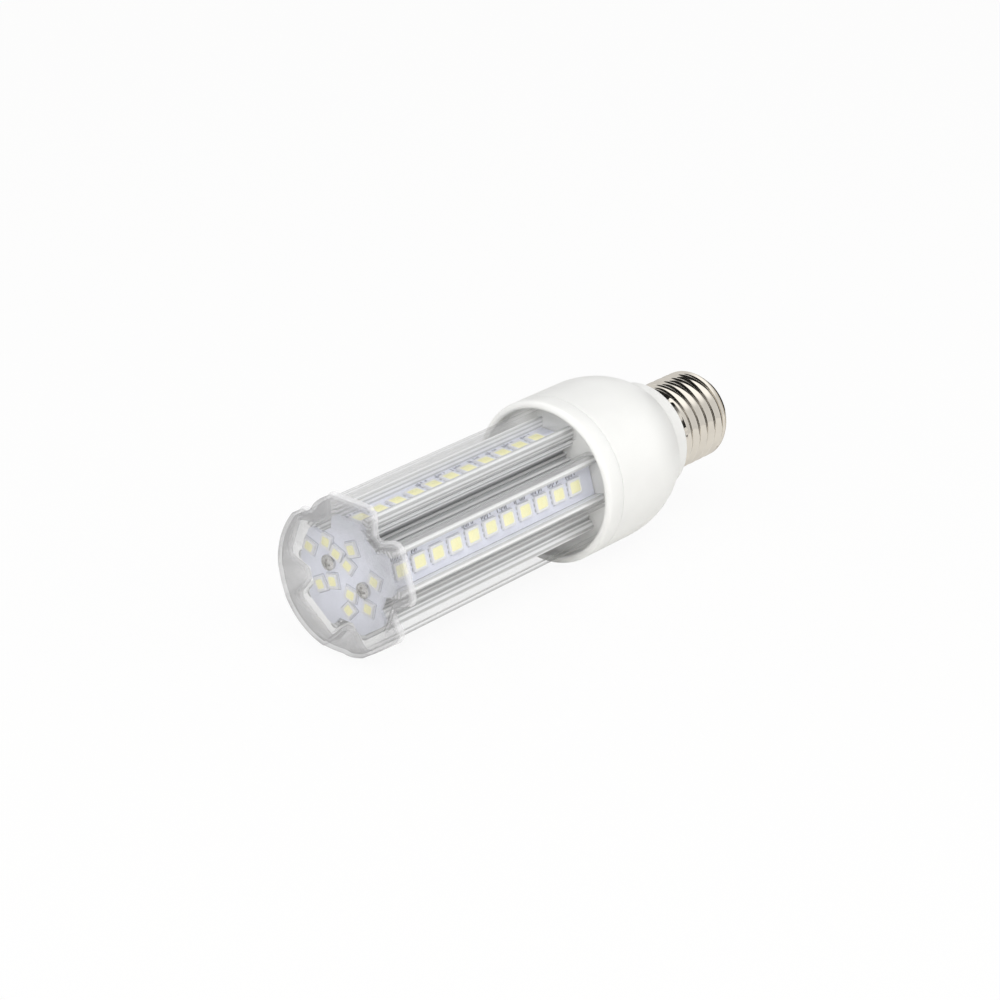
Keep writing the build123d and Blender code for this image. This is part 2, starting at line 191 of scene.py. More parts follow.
class LampColours(bpy.types.PropertyGroup):
    """Colours of the finishes."""

    nickel: colour("Nickel", "Plating of the screw base", (0.77, 0.725, 0.65))
    housing: colour("Housing", "Moulded white", (0.86, 0.86, 0.84))
    aluminium: colour("Aluminium", "Extruded core", (0.975, 0.98, 0.985))
    board: colour("Board", "White mask of the LED boards", (0.82, 0.84, 0.94))
    package: colour("Package", "Moulded LED package", (0.84, 0.84, 0.86))
    phosphor: colour("Phosphor", "Phosphor of the LEDs", (0.98, 0.965, 0.62))
    solder: colour("Solder", "Tinned pads", (0.62, 0.63, 0.65))
    print_ink: colour("Print", "Dark marks on the boards", (0.02, 0.02, 0.05))
    faint_ink: colour("Faint print", "Thin frames round the LEDs", (0.36, 0.37, 0.42))
    clear: colour("Clear plastic", "Body tint of the clear plastics", (0.37, 0.37, 0.375))
    # Painted highlight: the paler tint along the skirt's back edge.
    skirt: colour("Skirt", "Paler tint at the back edge of the cap's skirt", (0.88, 0.88, 0.89))
    insulator: colour("Insulator", "Moulded insulator of the base", (0.02, 0.02, 0.022))
    steel: colour("Steel", "Plated screws", (0.70, 0.69, 0.67))
    laminate: colour("Laminate", "Driver's circuit board", (0.05, 0.18, 0.06))
    ferrite: colour("Ferrite", "Transformer core", (0.03, 0.03, 0.032))
    copper: colour("Copper", "Transformer winding", (0.55, 0.24, 0.09))
    sleeve: colour("Sleeve", "Sleeve of the round capacitor", (0.02, 0.03, 0.06))
    film: colour("Film capacitor", "Case of the film capacitor", (0.68, 0.42, 0.03))
    fuse: colour("Fuse", "Coat of the fuse", (0.45, 0.40, 0.28))
    lead: colour("Lead", "Insulation of the leads", (0.70, 0.69, 0.66))


class StageSettings(bpy.types.PropertyGroup):
    """Camera and light."""

    camera_place: FloatVectorProperty(
        name="Camera place", description="Where the camera stands", unit="LENGTH", subtype="TRANSLATION",
        default=(-643.35 * MM, -472.73 * MM, 343.68 * MM), precision=5,
    )
    azimuth: turning("Azimuth", "Turn of the view about the upright", -50.803)
    elevation: turning("Elevation", "How far the view looks down", 24.609)
    roll: turning("Roll", "Turn of the picture", 1.834)
    lens: FloatProperty(
        name="Lens", description="Focal length for a 36 mm sensor", default=109.08, unit="CAMERA"
    )
    key_power: watts("Key light", "Power of the large light overhead", 2.5)
    fill_power: watts("Fill light", "Power of the light from the cap's end", 2.4)
    side_power: watts("Side light", "Power of the light beside the base", 0.9)
    world_strength: brightness("Room light", "Strength of the even light", 0.55)
    mirror_strength: brightness("Mirrored room", "Strength of the room that the metal mirrors", 0.8)


# Meshes


def quads(rows, columns, closed=True):
    """Corner numbers of a grid's quads: its columns wrap round, and so do its rows where it is closed."""
    row = np.arange(rows if closed else rows - 1)[:, None]
    column = np.arange(columns)[None, :]
    below = ((row + 1) % rows) * columns
    beside = (column + 1) % columns
    corners = (row * columns + column, row * columns + beside, below + beside, below + column)
    return np.stack(np.broadcast_arrays(*corners), axis=-1).reshape(-1, 4)


def piece(name, points, faces, slot, finish, replaced=(), sharp=35.0):
    """Makes an object from corner places and faces, riding on the lamp and standing for CAD nodes."""
    mesh = bpy.data.meshes.new(name)
    mesh.from_pydata(np.reshape(points, (-1, 3)).tolist(), [], [list(face) for face in faces])
    work = bmesh.new()
    work.from_mesh(mesh)
    bmesh.ops.remove_doubles(work, verts=work.verts, dist=0.0005 * MM)
    bmesh.ops.recalc_face_normals(work, faces=work.faces)
    work.to_mesh(mesh)
    work.free()
    mesh.polygons.foreach_set("use_smooth", np.ones(len(mesh.polygons), bool))
    mesh.set_sharp_from_angle(angle=radians(sharp))
    mesh.materials.append(finish)
    made = bpy.data.objects.new(name, mesh)
    bpy.context.scene.collection.objects.link(made)
    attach(made, BODY)
    if replaced:
        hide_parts(*replaced)


def dress(finish, *nodes):
    """Puts a finish on CAD nodes that are shown as they are."""
    for node in nodes:
        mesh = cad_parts[node].data
        mesh.materials.clear()
        mesh.materials.append(finish)


def rounded(corners, closed=True):
    """A profile through (x, y, round) corners, each corner swapped for an arc of its round.

    The arc's centre lies on the corner's bisector, round / sin(half angle) away, and the arc runs
    between the two tangent points by spherical interpolation of the radii."""
    table = np.array(corners, float)
    places = table[:, :2]
    path = []
    for number, (corner, radius) in enumerate(zip(places, table[:, 2])):
        inner = closed or 0 < number < len(places) - 1
        if radius <= 0 or not inner:
            path.append(corner[None])
            continue
        back = places[number - 1] - corner
        ahead = places[(number + 1) % len(places)] - corner
        back = back / np.linalg.norm(back)
        ahead = ahead / np.linalg.norm(ahead)
        half = np.arccos(np.clip(back @ ahead, -1, 1)) / 2
        middle = back + ahead
        centre = corner + middle / np.linalg.norm(middle) * radius / sin(half)
        start = corner + back * radius / tan(half) - centre
        end = corner + ahead * radius / tan(half) - centre
        turn = pi - 2 * half
        share = np.linspace(0, 1, ROUND_STEPS)[:, None]
        path.append(centre + (np.sin((1 - share) * turn) * start + np.sin(share * turn) * end) / sin(turn))
    return np.concatenate(path)


def arc(start, end, steps):
    """A circle's arc that leaves its start along the axis and drops to its end.

    With run a and drop d, its radius is (a a + d d) / 2 d and its centre lies straight below the start."""
    run = end[0] - start[0]
    drop = start[1] - end[1]
    radius = (run * run + drop * drop) / (2 * drop)
    angle = np.linspace(0, np.arcsin(run / radius), steps)
    return np.stack([start[0] + radius * np.sin(angle), start[1] - radius + radius * np.cos(angle)], axis=1)


def around(profile, count=AROUND):
    """A surface of revolution about X: each (x, radius) carried round the axis, on a grid."""
    angle = np.linspace(0, 2 * pi, count, endpoint=False)
    x = np.repeat(profile[:, :1], count, axis=1)
    radius = profile[:, 1:2]
    return np.stack([x, radius * np.cos(angle), radius * np.sin(angle)], axis=-1)


def turned_to(points, angle):
    """Places turned about the X axis by an angle."""
    turn = np.array([[1, 0, 0], [0, cos(angle), -sin(angle)], [0, sin(angle), cos(angle)]])
    return points @ turn.T


def smooth(value, start, end):
    """A soft step from 0 at start to 1 at end, 3 t t - 2 t t t."""
    share = np.clip((value - start) / (end - start), 0, 1)
    return share * share * (3 - 2 * share)


def joined(copies, faces):
    """Copies of one mesh as a single mesh, with each copy's faces numbered on from the last."""
    corners = np.asarray(copies)
    shifts = np.arange(len(corners))[:, None, None] * corners.shape[1]
    return corners.reshape(-1, 3), (np.asarray(faces)[None] + shifts).reshape(-1, 4)


def flat_boxes(centres, sizes):
    """Boxes by centre and size: the eight corners of a unit cube, scaled and moved."""
    ends = (-0.5, 0.5)
    corners = np.array([[x, y, z] for x in ends for y in ends for z in ends])
    cube = [[0, 1, 3, 2], [4, 6, 7, 5], [0, 4, 5, 1], [2, 3, 7, 6], [0, 2, 6, 4], [1, 5, 7, 3]]
    scales = np.broadcast_to(sizes, np.shape(centres))
    return joined(centres[:, None] + corners * scales[:, None], cube)


def on_lobes(name, points, faces, slot, finish, node=None):
    """A piece for each lobe: the top lobe's, turned about the axis and numbered from lobe to lobe.

    Where a node is named, each piece stands for the node with its own number."""
    for number in range(LOBES):
        turned = turned_to(points, number * LOBE_STEP)
        replaced = [f"{node}_{number + 1}"] if node else []
        piece(f"{name}_{number + 1}", turned, faces, slot, finish, replaced)


# Finishes


class Wire:
    """An output socket of a finish; arithmetic with it adds Math nodes."""

    def __init__(self, finish, socket):
        self.finish = finish
        self.socket = socket

    def math(self, operation, *terms):
        """A Math node with an operation and its terms."""
        return self.finish.add("ShaderNodeMath", {"operation": operation}, dict(enumerate(terms)))

    def __add__(self, other):
        return self.math("ADD", self, other)

    def __radd__(self, other):
        return self.math("ADD", other, self)

    def __sub__(self, other):
        return self.math("SUBTRACT", self, other)

    def __rsub__(self, other):
        return self.math("SUBTRACT", other, self)

    def __mul__(self, other):
        return self.math("MULTIPLY", self, other)

    def __rmul__(self, other):
        return self.math("MULTIPLY", other, self)

    def __truediv__(self, other):
        return self.math("DIVIDE", self, other)

    def __rtruediv__(self, other):
        return self.math("DIVIDE", other, self)

    def __pow__(self, other):
        return self.math("POWER", self, other)

    def sine(self):
        """The sine of the value."""
        return self.math("SINE", self)


class Finish:
    """A material, or the world, being wired up."""

    def __init__(self, name, kind="materials"):
        self.owner = getattr(bpy.data, kind).new(name)
        self.owner.use_nodes = True
        self.tree = self.owner.node_tree
        self.tree.nodes.clear()

    def add(self, kind, settings=None, sockets=None, output=0):
        """Any node: its type, its settings, and the values or links of its sockets."""
        node = self.tree.nodes.new(kind)
        for key, value in (settings or {}).items():
            setattr(node, key, value)
        for key, value in (sockets or {}).items():
            if isinstance(value, Wire):
                self.tree.links.new(value.socket, node.inputs[key])
            else:
                node.inputs[key].default_value = value
        return Wire(self, node.outputs[output])

    def place(self, scale):
        """Object coordinates, stretched by a scale along each axis."""
        here = self.add("ShaderNodeTexCoord", output="Object")
        return self.add("ShaderNodeVectorMath", {"operation": "MULTIPLY"}, {0: here, 1: scale})

    def axes(self):
        """The three object coordinates as separate values."""
        here = self.add("ShaderNodeTexCoord", output="Object")
        parts = self.add("ShaderNodeSeparateXYZ", None, {0: here})
        return [Wire(self, socket) for socket in parts.socket.node.outputs]

    def noise(self, size, stretch=(1, 1, 1), detail=4.0):
        """Cloudy noise from 0 to 1 whose features are about one size across."""
        scale = [axis / size for axis in stretch]
        sockets = {"Vector": self.place(scale), "Scale": 1.0, "Detail": detail, "Roughness": 0.55}
        return self.add("ShaderNodeTexNoise", None, sockets, "Fac")

    def ease(self, value, start, end):
        """A soft step of a value, from 0 at start to 1 at end."""
        settings = {"interpolation_type": "SMOOTHSTEP"}
        return self.add("ShaderNodeMapRange", settings, {0: value, 1: start, 2: end})

    def blend(self, share, first, second):
        """A colour between two colours."""
        sockets = {0: share, 6: self.tint(first), 7: self.tint(second)}
        return self.add("ShaderNodeMix", {"data_type": "RGBA"}, sockets, 2)

    def tint(self, value):
        """A colour with its alpha, or a wire as it is."""
        return value if isinstance(value, Wire) else (*value[:3], 1.0)

    def bump(self, height, depth, strength):
        """A bumped normal from a height of 0 to 1."""
        return self.add("ShaderNodeBump", None, {"Strength": strength, "Distance": depth, "Height": height})

    def body(self, base, **sockets):
        """The main shader, with its base colour and other sockets by name."""
        named = {"Base Color": self.tint(base)}
        for key, value in sockets.items():
            named[key.replace("_", " ").title().replace("Ior", "IOR")] = value
        return self.add("ShaderNodeBsdfPrincipled", None, named)

    def mix(self, share, first, second):
        """Two shaders mixed by a share."""
        return self.add("ShaderNodeMixShader", None, {0: share, 1: first, 2: second})

    def done(self, shader, output="ShaderNodeOutputMaterial"):
        """Wires the shader to the output and gives what was wired up."""
        node = self.tree.nodes.new(output)
        self.tree.links.new(shader.socket, node.inputs["Surface"])
        return self.owner


def shade(value, factor):
    """A colour made darker or lighter by a factor."""
    return tuple(min(channel * factor, 1.0) for channel in value)


def nickel_plate(colours):
    """Bright nickel with faint draw marks round the shell and a few duller patches."""
    finish = Finish("nickel_plate")
    drawn = finish.noise(0.25 * MM, (1, 0.08, 0.08))
    patches = finish.noise(6 * MM)
    rough = 0.045 + 0.04 * drawn + 0.05 * finish.ease(patches, 0.45, 0.75)
    base = finish.blend(finish.ease(patches, 0.35, 0.7), colours.nickel, shade(colours.nickel, 0.93))
    normal = finish.bump(drawn, 0.002 * MM, 0.2)
    return finish.done(finish.body(base, metallic=1.0, roughness=rough, normal=normal))


def moulded_white(colours):
    """Glossy white moulding: fine spark texture, faint flow clouds and slightly duller patches."""
    finish = Finish("moulded_white")
    cloud = finish.noise(14 * MM)
    grain = finish.noise(0.35 * MM, detail=2.0)
    base = finish.blend(finish.ease(cloud, 0.3, 0.7), shade(colours.housing, 0.97), colours.housing)
    rough = 0.30 + 0.08 * grain + 0.05 * cloud
    normal = finish.bump(grain, 0.012 * MM, 0.35)
    shader = finish.body(base, roughness=rough, normal=normal, subsurface_weight=0.20,
                         subsurface_radius=(1.0, 1.0, 1.0), subsurface_scale=3 * MM)
    return finish.done(shader)


def extruded_aluminium(colours, pitch, root):
    """Bright aluminium: fine drawn ribs at even steps from the axis; painted shade in their valleys and the
    grooves' roots.
    """
    finish = Finish("extruded_aluminium")
    y, z = finish.axes()[1:]
    away = (y * y + z * z) ** 0.5
    ribs = finish.ease((away * (2 * pi / pitch)).sine(), -0.7, 0.2)
    haze = finish.noise(8 * MM, (0.12, 1, 1))
    # Painted shade: the colour is darker in the valleys between the ribs.
    drawn = finish.blend(ribs, shade(colours.aluminium, 0.60), colours.aluminium)
    # Painted shade: the colour darkens towards the grooves' roots, where the core lies in shade.
    painted_root_shade_fade = finish.ease(away, root, root + 1.8 * MM)
    base = finish.blend(painted_root_shade_fade, shade(colours.aluminium, 0.58), drawn)
    rough = 0.20 + 0.08 * haze
    normal = finish.bump(ribs, 0.05 * MM, 0.5)
    return finish.done(finish.body(base, metallic=0.2, roughness=rough, normal=normal))


def board_mask(colours):
    """White solder mask, a little uneven in tone, with a fine grain."""
    finish = Finish("board_mask")
    cloud = finish.noise(5 * MM)
    grain = finish.noise(0.3 * MM, detail=2.0)
    base = finish.blend(finish.ease(cloud, 0.3, 0.7), shade(colours.board, 0.95), colours.board)
    normal = finish.bump(grain, 0.01 * MM, 0.3)
    return finish.done(finish.body(base, roughness=0.32 + 0.1 * grain, normal=normal))


def moulded_package(colours):
    """Matt white LED moulding."""
    finish = Finish("moulded_package")
    grain = finish.noise(0.25 * MM, detail=2.0)
    base = finish.blend(grain, shade(colours.package, 0.94), colours.package)
    normal = finish.bump(grain, 0.008 * MM, 0.3)
    return finish.done(finish.body(base, roughness=0.38 + 0.1 * grain, normal=normal))


def phosphor_gel(colours):
    """Pale yellow silicone with fine grains of phosphor."""
    finish = Finish("phosphor_gel")
    grain = finish.noise(0.12 * MM, detail=3.0)
    cloud = finish.noise(2.2 * MM)
    deep = tuple(channel * factor for channel, factor in zip(colours.phosphor, (0.98, 0.95, 0.80)))
    base = finish.blend(finish.ease(grain * 0.5 + cloud * 0.5, 0.35, 0.7), deep, colours.phosphor)
    normal = finish.bump(grain, 0.01 * MM, 0.4)
    return finish.done(finish.body(base, roughness=0.30 + 0.15 * grain, normal=normal))


def tinned_solder(colours):
    """Dull tin with a grainy surface."""
    finish = Finish("tinned_solder")
    grain = finish.noise(0.2 * MM)
    base = finish.blend(grain, shade(colours.solder, 0.8), colours.solder)
    normal = finish.bump(grain, 0.02 * MM, 0.5)
    return finish.done(finish.body(base, metallic=1.0, roughness=0.3 + 0.25 * grain, normal=normal))


def clear_plastic(name, colours, face_share, edge_share, power, painted_side_shade=0.0, side=None, bead=None):
    """Clear plastic: see-through face on, greyer where the eye looks along the wall, with a clear gloss.

    Between two places along X, side, the wall gets greyer by its own share: painted shade standing in for
    the refraction through the cap's side wall. Between two others, bead, the grey gets paler: a painted
    highlight along the skirt's back edge."""
    finish = Finish(name)
    wall = face_share
    tone = colours.clear
    if side:
        # Painted shade: the wall is greyer behind the shoulder, on the cap's side.
        wall = face_share + painted_side_shade * finish.ease(finish.axes()[0], *side)
    if bead:
        # Painted highlight: the grey is paler along the skirt's back edge.
        tone = finish.blend(finish.ease(finish.axes()[0], *bead), colours.clear, colours.skirt)
    facing = finish.add("ShaderNodeLayerWeight", None, {"Blend": 0.5}, "Facing")
    clouds = 0.6 + 0.8 * finish.noise(4 * MM)
    share = wall * clouds + (edge_share - face_share) * facing ** power
    through = finish.add("ShaderNodeBsdfTransparent", None, {"Color": WHITE})
    body = finish.body(tone, roughness=0.6, specular_ior_level=0.0)
    shine = finish.add("ShaderNodeBsdfGlossy", None, {"Color": WHITE, "Roughness": 0.05})
    gloss = 0.035 + 0.5 * facing ** 5.0
    return finish.done(finish.mix(gloss, finish.mix(share, through, body), shine))


def plain_finish(name, base, rough, metallic=0.0, size=1.2 * MM):
    """A plain moulded or coated surface with a fine uneven grain."""
    finish = Finish(name)
    grain = finish.noise(size)
    tone = finish.blend(finish.ease(grain, 0.3, 0.7), shade(base, 0.85), base)
    normal = finish.bump(grain, 0.02 * MM, 0.3)
    return finish.done(finish.body(tone, metallic=metallic, roughness=rough + 0.12 * grain, normal=normal))


def wound_copper(colours):
    """Turns of enamelled wire, as fine ridges along the coil, with painted shade between the turns."""
    finish = Finish("wound_copper")
    wire = 0.45 * MM
    z = finish.axes()[2]
    ridge = (z * (2 * pi / wire)).sine() * 0.5 + 0.5
    # Painted shade: the colour is darker between the turns.
    base = finish.blend(ridge, shade(colours.copper, 0.5), colours.copper)
    normal = finish.bump(ridge, 0.1 * MM, 0.8)
    return finish.done(finish.body(base, metallic=0.8, roughness=0.3 + 0.1 * ridge, normal=normal))


# Pieces


class LAMP_OT_screw_shell(bpy.types.Operator):
    """Screw shell: a drawn sheet with a rolled thread, crimped beside the collar"""

    bl_idname = "lamp.screw_shell"
    bl_label = "Screw shell"

    def execute(self, context):
        sizes = context.scene.lamp_sizes
        crest = high("screw_shell", 2)
        end = high("screw_shell", 0)
        taper = end - sizes.shell_taper_length
        nose_start = taper - 1 * MM
        run = np.linspace(0, taper, 230)
        nose = rounded([
            (nose_start, crest, 0),
            (taper, crest, 1.2 * MM),
            (end, crest - sizes.shell_taper, 0.5 * MM),
            (end, sizes.lip_radius, 0),
        ], closed=False)[1:]
        inside = crest - sizes.thread_depth - sizes.shell_wall
        back = np.array([(end - sizes.shell_wall, sizes.lip_radius), (nose_start, inside), (0, inside)])
        straight = np.stack([run, np.full_like(run, crest)], axis=1)
        profile = np.concatenate([straight, nose, back])
        threaded_rows = len(run) + 4
        points = self.shaped(around(profile, FINE_AROUND), threaded_rows, sizes, taper)
        faces = quads(len(profile), FINE_AROUND)
        finish = nickel_plate(context.scene.lamp_colours)
        piece("screw_shell_sheet", points, faces, "nickel_plate", finish, ["screw_shell"], sharp=50)
        return {"FINISHED"}

    def shaped(self, points, rows, sizes, taper):
        """The thread lowers the radius by half its depth times 1 - cos(2 pi x / pitch - angle + turn).

        It rises past the smooth band and fades out at the taper. Each crimp is a round dent, its depth times
        exp(-(distance / radius) squared)."""
        x, y, z = np.moveaxis(points[:rows], -1, 0)
        angle = np.arctan2(z, y)
        radius = np.hypot(y, z)
        risen = smooth(x, sizes.band_length, sizes.band_length + 1.6 * MM)
        faded = smooth(x, taper - 0.6 * MM, taper + 0.6 * MM)
        wave = 0.5 - 0.5 * np.cos(2 * pi * x / sizes.thread_pitch - angle + sizes.thread_turn)
        step = 2 * pi / sizes.crimp_count
        aside = (np.mod(angle - sizes.crimp_turn + step / 2, step) - step / 2) * radius
        reach = np.hypot(aside, x - sizes.crimp_place) / sizes.crimp_radius
        dent = sizes.thread_depth * wave * risen * (1 - faded) + sizes.band_drop * (1 - risen)
        dent = dent + sizes.crimp_depth * np.exp(-reach * reach)
        points[:rows, :, 1:] *= (1 - dent / radius)[..., None]
        return points


class LAMP_OT_base_tip(bpy.types.Operator):
    """Insulator and centre contact at the tip of the base"""

    bl_idname = "lamp.base_tip"
    bl_label = "Base tip"

    def execute(self, context):
        sizes = context.scene.lamp_sizes
        stem = 1.6 * MM
        hole = stem + 0.1 * MM
        start = low("base_insulator", 0)
        end = high("base_insulator", 0)
        flange = high("base_insulator", 2)
        lip = high("screw_shell", 0)
        ledge = lip - sizes.shell_wall
        through = sizes.lip_radius - 0.1 * MM
        wide = high("centre_contact", 2)
        seat = wide + 0.5 * MM
        cone = rounded([
            (start, hole, 0), (start, flange, 0.4 * MM), (ledge, flange, 0), (ledge, through, 0),
            (lip, through, 0.3 * MM), (end, seat, 0.5 * MM), (end, hole, 0),
        ])
        black = plain_finish("black_moulding", context.scene.lamp_colours.insulator, 0.12, size=3 * MM)
        faces = quads(len(cone), AROUND)
        piece("base_insulator_cone", around(cone), faces, "base_moulding", black, ["base_insulator"])
        tip = high("centre_contact", 0)
        back = low("centre_contact", 0)
        button = rounded([
            (back, 0, 0), (back, stem, 0.2 * MM), (end, stem, 0), (end, wide, 0),
            (end + 0.8 * MM, wide, 0.5 * MM), (tip, wide * 0.45, 1.5 * MM), (tip, 0, 0),
        ], closed=False)
        nickel = bpy.data.materials["nickel_plate"]
        faces = quads(len(button), AROUND, closed=False)
        piece("contact_button", around(button), faces, "nickel_plate", nickel, ["centre_contact"])
        return {"FINISHED"}


class LAMP_OT_housing(bpy.types.Operator):
    """White cup: straight wall, dome, collar with small pips, and the neck inside the shell"""

    bl_idname = "lamp.housing"
    bl_label = "Housing"

    def execute(self, context):
        sizes = context.scene.lamp_sizes
        seam = low("rear_housing", 0)
        neck_end = high("rear_housing", 0)
        radius = high("rear_housing", 2)
        dome_end = -sizes.collar_length
        dome_start = dome_end - sizes.dome_length
        inner = radius - sizes.housing_wall
        inner_end = sizes.shoulder_radius - sizes.housing_wall
        neck = sizes.neck_radius
        bore = neck - sizes.neck_wall
        step_in = dome_end - sizes.neck_wall
        dome = arc((dome_start, radius), (dome_end - 0.9 * MM, sizes.shoulder_radius + 0.45 * MM), 40)
        outside = rounded([
            (*dome[-1], 0), (dome_end, sizes.shoulder_radius - 0.2 * MM, 0.55 * MM),
            (dome_end + 0.2 * MM, sizes.collar_radius, 0.45 * MM), *self.collar(dome_end, sizes),
            (0, sizes.collar_end_radius, 0.7 * MM), (0, neck, 0), (neck_end, neck, 0.3 * MM),
            (neck_end, bore, 0.3 * MM), (step_in, bore, 0), (step_in, inner_end, 0), (dome_start, inner, 0),
            (seam, inner, 0), (seam, radius, sizes.seam_round), (dome_start, radius, 0),
        ])
        wall = np.linspace(outside[-2], outside[-1], 6)
        profile = np.concatenate([dome[1:-1], outside[:-1], wall[1:]])
        points = self.pipped(around(profile, 2 * AROUND), sizes)
        faces = quads(len(profile), 2 * AROUND)
        finish = moulded_white(context.scene.lamp_colours)
        piece("housing_cup", points, faces, "white_housing", finish, ["rear_housing"], sharp=40)
        return {"FINISHED"}

    def collar(self, dome_end, sizes):
        """Rows along the collar's slope, close enough for its pips and clear of the rounds at its ends."""
        share = np.linspace(0, 1, 44)[4:-6]
        x = (1 - share) * dome_end
        radius = sizes.collar_radius + share * (sizes.collar_end_radius - sizes.collar_radius)
        return [(place, size, 0) for place, size in zip(x, radius)]

    def pipped(self, points, sizes):
        """Low pips round the collar, each its height times exp(-(distance / radius) to the fourth).

        The distance counts less round the collar than along it, so a pip is oval."""
        x, y, z = np.moveaxis(points, -1, 0)
        radius = np.hypot(y, z)
        step = 2 * pi / sizes.pip_count
        aside = (np.mod(np.arctan2(z, y) - pi / 2 + step / 2, step) - step / 2) * radius
        reach = np.hypot(0.6 * aside, x + sizes.pip_place) / sizes.pip_radius
        outer = radius > sizes.neck_radius + 1 * MM
        rise = np.where(outer, sizes.pip_height * np.exp(-reach ** 4), 0)
        points[..., 1:] *= (1 + rise / radius)[..., None]
        return points


class LAMP_OT_front_ring(bpy.types.Operator):
    """White ring that closes the cup, with a rounded rim and the floor of its recess"""

    bl_idname = "lamp.front_ring"
    bl_label = "Front ring"

    def execute(self, context):
        sizes = context.scene.lamp_sizes
        front = low("front_ring", 0)
        lip_end = high("front_ring", 0)
        radius = high("front_ring", 2)
        seam = low("rear_housing", 0)
        floor = high("heat_sink", 0)
        back = floor + sizes.ring_floor
        recess = radius - sizes.ring_wall
        lip = radius - sizes.housing_wall - 0.1 * MM
        lip_inner = lip - sizes.ring_lip_wall
        profile = rounded([
            (front, recess, 0.8 * MM), (front, radius, 1.45 * MM), (seam, radius, sizes.seam_round),
            (seam, lip, 0), (lip_end, lip, 0.3 * MM), (lip_end, lip_inner, 0.3 * MM), (back, lip_inner, 0),
            (back, sizes.wire_hole, 0), (floor, sizes.wire_hole, 0), (floor, recess, 0.6 * MM),
        ])
        faces = quads(len(profile), AROUND)
        white = bpy.data.materials["moulded_white"]
        piece("front_ring_moulding", around(profile), faces, "white_housing", white, ["front_ring"])
        return {"FINISHED"}


class LAMP_OT_core(bpy.types.Operator):
    """Extruded aluminium core"""

    bl_idname = "lamp.core"
    bl_label = "Core"

    def execute(self, context):
        sizes = context.scene.lamp_sizes
        finish = extruded_aluminium(context.scene.lamp_colours, sizes.line_pitch, sizes.groove_root)
        dress(finish, "heat_sink")
        return {"FINISHED"}


class LAMP_OT_covers(bpy.types.Operator):
    """Clear covers hooked over the five lobes"""

    bl_idname = "lamp.covers"
    bl_label = "Strip covers"

    def execute(self, context):
        sizes = context.scene.lamp_sizes
        finish = clear_plastic("clear_cover", context.scene.lamp_colours, 0.02, 0.5, 4.0)
        start = low("strip_cover_1", 0)
        end = high("strip_cover_1", 0)
        outline = rounded(self.section(sizes))
        edge = 0.15 * MM
        stations = np.array([start, start + edge, end - edge, end])
        y, z = outline.T
        points = np.stack(np.broadcast_arrays(stations[:, None], y, z), axis=-1)
        rows, columns = points.shape[:2]
        ends = np.arange(rows * columns).reshape(rows, columns)[[0, -1]]
        faces = quads(rows, columns, closed=False).tolist() + ends.tolist()
        on_lobes("clear_strip_cover", points, faces, "clear_cover", finish, "strip_cover")
        return {"FINISHED"}

    def section(self, sizes):
        """Corners of the top cover across its length: a flat arch with a hook turned in along each foot.

        The far side is the near side mirrored, with its corners in reverse order."""
        wide = high("strip_cover_1", 1)
        top = high("strip_cover_1", 2)
        foot = low("strip_cover_1", 2)
        wall = sizes.cover_wall
        corner = sizes.cover_corner
        hook = wide - sizes.hook_inset
        ledge = foot + sizes.hook_height
        edge = 0.1 * MM
        outer = [(hook, foot, edge), (wide, foot, 0.4 * MM), (wide, top, corner)]
        inner = [(wide - wall, top - wall, corner - wall), (wide - wall, ledge, edge), (hook, ledge, edge)]
        far = [(-y, z, bend) for y, z, bend in reversed(inner + outer)]
        return outer + far + inner


